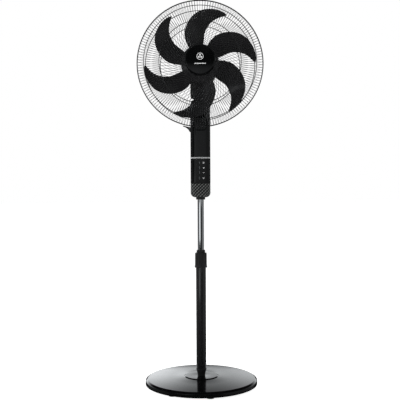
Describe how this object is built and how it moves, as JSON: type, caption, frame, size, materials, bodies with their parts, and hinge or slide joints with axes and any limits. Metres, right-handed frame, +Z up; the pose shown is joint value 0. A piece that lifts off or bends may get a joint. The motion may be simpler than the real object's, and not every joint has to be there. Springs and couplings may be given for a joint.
{
  "type": "pedestal fan",
  "caption": "Black pedestal fan on a round weighted base with a telescopic chrome pole, a slim control column, a wire guard and swept blades; it tilts and swings.",
  "frame": {"origin": "middle of the round base, on the floor under its feet", "axes": "+Z up along the pole, the fan blows towards -Y, +X to the right seen from the front"},
  "size_m": [0.4274, 0.3938, 1.3351],
  "materials": {
    "gloss_black_plastic": "high gloss",
    "satin_black_plastic": "fine satin grain",
    "textured_black_plastic": "diamond knurl",
    "smoked_blade_plastic": "gloss, faint flow grain",
    "grey_plastic": "satin",
    "silver_trim": "brushed satin",
    "white_print": "smooth",
    "button_plastic": "satin with a white legend",
    "lens_plastic": "frosted",
    "chrome": "polished",
    "black_coated_tube": "gloss coat",
    "black_coated_wire": "gloss coat",
    "zinc_steel": "zinc plated",
    "turned_steel": "turned",
    "cast_weight": "rough casting",
    "die_cast": "as cast",
    "lamination": "stacked sheet",
    "copper_winding": "lacquered",
    "bronze": "sintered",
    "board": "solder resist",
    "foot_rubber": "matt"
  },
  "bodies": {
    "stand": {"base_cover": "gloss_black_plastic", "base_weight": "cast_weight", "base_feet": "foot_rubber", "base_bolt": "zinc_steel", "pole_foot": "satin_black_plastic", "outer_pole": "black_coated_tube", "pole_collet": "satin_black_plastic"},
    "collar": {"height_collar": "satin_black_plastic"},
    "column": {"inner_pole": "chrome", "pole_bush": "grey_plastic", "pole_socket": "satin_black_plastic", "socket_screw": "zinc_steel", "pod_grip": "textured_black_plastic", "pod_front": "gloss_black_plastic", "pod_back": "satin_black_plastic", "pod_trim": "silver_trim", "pod_screws": "zinc_steel", "cord_gland": "satin_black_plastic", "control_board": "board", "indicator_lenses": "lens_plastic", "tilt_yoke": "zinc_steel", "tilt_pin": "turned_steel", "tilt_nut": "zinc_steel"},
    "power_button": {"button_power": "button_plastic"},
    "speed_button": {"button_speed": "button_plastic"},
    "swing_button": {"button_swing": "button_plastic"},
    "timer_button": {"button_timer": "button_plastic"},
    "neck": {"neck_bracket": "die_cast", "pivot_shaft": "turned_steel", "swing_arm": "zinc_steel"},
    "head": {"swing_motor": "zinc_steel", "swing_bracket": "die_cast", "stator_core": "lamination", "stator_windings": "copper_winding", "front_bell": "die_cast", "rear_bell": "die_cast", "front_bearing": "bronze", "rear_bearing": "bronze", "motor_front_cover": "satin_black_plastic", "motor_rear_cover": "satin_black_plastic", "cover_screws": "zinc_steel", "front_wires": "black_coated_wire", "front_rings": "black_coated_wire", "rear_wires": "black_coated_wire", "rear_rings": "black_coated_wire", "rear_centre_plate": "black_coated_wire", "rear_nut": "satin_black_plastic", "badge_disc": "gloss_black_plastic", "badge_back": "satin_black_plastic", "badge_emblem": "white_print", "latch_mount": "satin_black_plastic", "rim_lug": "satin_black_plastic", "lug_screw": "zinc_steel"},
    "crank": {"swing_crank": "grey_plastic"},
    "link": {"swing_link": "zinc_steel"},
    "latch": {"rim_latch": "grey_plastic"},
    "rotor": {"motor_shaft": "turned_steel", "rotor_core": "lamination", "fan_blades": "smoked_blade_plastic", "blade_nut": "satin_black_plastic"}
  },
  "joints": [
    {"name": "collar_turn", "type": "hinge", "parent": "stand", "child": "collar", "pos_m": [0, 0, 0.442], "axis": [0, 0, 1], "range_deg": [0, 90]},
    {"name": "height_slide", "type": "slide", "parent": "stand", "child": "column", "axis": [0, 0, 1], "range_m": [-0.165, 0.055]},
    {"name": "power_press", "type": "slide", "parent": "column", "child": "power_button", "axis": [0, 1, 0], "range_m": [0, 0.0008], "stiffness_N_per_m": 700},
    {"name": "speed_press", "type": "slide", "parent": "column", "child": "speed_button", "axis": [0, 1, 0], "range_m": [0, 0.0008], "stiffness_N_per_m": 700},
    {"name": "swing_press", "type": "slide", "parent": "column", "child": "swing_button", "axis": [0, 1, 0], "range_m": [0, 0.0008], "stiffness_N_per_m": 700},
    {"name": "timer_press", "type": "slide", "parent": "column", "child": "timer_button", "axis": [0, 1, 0], "range_m": [0, 0.0008], "stiffness_N_per_m": 700},
    {"name": "head_tilt", "type": "hinge", "parent": "column", "child": "neck", "pos_m": [0, 0, 0.985], "axis": [-1, 0, 0], "range_deg": [-8, 18]},
    {"name": "head_swing", "type": "hinge", "parent": "neck", "child": "head", "pos_m": [0, 0, 1.04], "axis": [0, 0, 1], "range_deg": [-35, 35]},
    {"name": "crank_turn", "type": "hinge", "parent": "head", "child": "crank", "pos_m": [0.01, 0.045, 1.0325], "axis": [0, 0, 1], "range_deg": [-91, 91]},
    {"name": "link_turn", "type": "hinge", "parent": "crank", "child": "link", "pos_m": [0.024, 0.045, 1.029], "axis": [0, 0, 1], "range_deg": [-91, 91]},
    {"name": "fan_spin", "type": "hinge", "parent": "head", "child": "rotor", "pos_m": [0, -0.108, 1.115], "axis": [0, -1, 0], "continuous": true},
    {"name": "latch_open", "type": "hinge", "parent": "head", "child": "latch", "pos_m": [0, -0.097, 1.3326], "axis": [-1, 0, 0], "range_deg": [0, 75]}
  ],
  "couplings": [
    {"joint": "crank_turn", "follows": "head_swing", "ratio": -2.5714},
    {"joint": "link_turn", "follows": "head_swing", "ratio": 2.5714}
  ]
}
